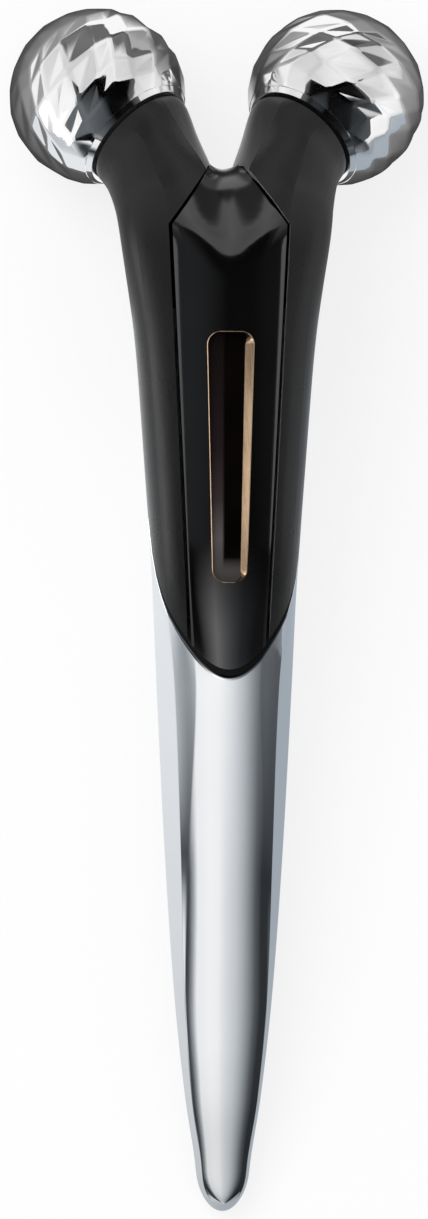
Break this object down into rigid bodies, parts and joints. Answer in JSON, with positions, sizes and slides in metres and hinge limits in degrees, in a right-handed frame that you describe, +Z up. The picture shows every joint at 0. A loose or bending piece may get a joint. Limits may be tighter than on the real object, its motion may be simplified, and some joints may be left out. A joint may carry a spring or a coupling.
{
  "type": "facial roller",
  "caption": "Hand-held facial roller with free-spinning faceted metal balls on a forked black head, a tinted light-cell window and a tapered polished handle.",
  "frame": {"origin": "centre of the bounding box's bottom face, on the table that the roller lies on", "axes": "+Y along the roller towards the balls, +X to the right of the front, +Z up; the roller lies on both balls and the handle's tip with its front window up"},
  "size_m": [0.0624, 0.1807, 0.0349],
  "materials": {
    "polished_plating": "mirror plating",
    "ball_plating": "bright plating, flat facets",
    "matte_black": "soft satin",
    "gloss_black": "polished",
    "bronze_trim": "thin bright rim",
    "smoked_lens": "tinted, polished",
    "dark_cell": "cell face",
    "pale_resin": "moulded",
    "grey_resin": "moulded",
    "green_board": "solder mask",
    "component_black": "moulded",
    "steel": "ground",
    "spring_brass": "rolled strip",
    "black_rubber": "moulded",
    "red_insulation": "insulated wire"
  },
  "bodies": {
    "handle": {"handle_shell": "polished_plating", "seam_gasket": "black_rubber", "left_housing": "matte_black", "right_housing": "matte_black", "front_panel": "gloss_black", "window_bezel": "bronze_trim", "window_lens": "smoked_lens", "solar_cell": "dark_cell", "cell_cradle": "pale_resin", "cell_leads": "steel", "inner_frame": "grey_resin", "circuit_board": "green_board", "board_components": "component_black", "board_screws": "steel", "handle_contact": "spring_brass", "handle_lead": "red_insulation", "left_axle_lead": "red_insulation", "left_axle": "steel", "left_arm_plug": "component_black", "left_axle_seal": "black_rubber", "left_thrust_washer": "steel", "left_retaining_clip": "steel", "right_axle_lead": "red_insulation", "right_axle": "steel", "right_arm_plug": "component_black", "right_axle_seal": "black_rubber", "right_thrust_washer": "steel", "right_retaining_clip": "steel"},
    "left_roller": {"left_faceted_shell": "ball_plating", "left_neck_ring": "polished_plating", "left_roller_core": "pale_resin", "left_inner_bearing": "grey_resin", "left_outer_bearing": "grey_resin", "left_core_cap": "pale_resin"},
    "right_roller": {"right_faceted_shell": "ball_plating", "right_neck_ring": "polished_plating", "right_roller_core": "pale_resin", "right_inner_bearing": "grey_resin", "right_outer_bearing": "grey_resin", "right_core_cap": "pale_resin"}
  },
  "joints": [
    {"name": "left_roller_spin", "type": "hinge", "parent": "handle", "child": "left_roller", "pos_m": [-0.018, 0.07698, 0.0133], "axis": [-0.5909, 0.7117, -0.3799], "continuous": true},
    {"name": "right_roller_spin", "type": "hinge", "parent": "handle", "child": "right_roller", "pos_m": [0.018, 0.07698, 0.0133], "axis": [0.5909, 0.7117, -0.3799], "continuous": true}
  ]
}
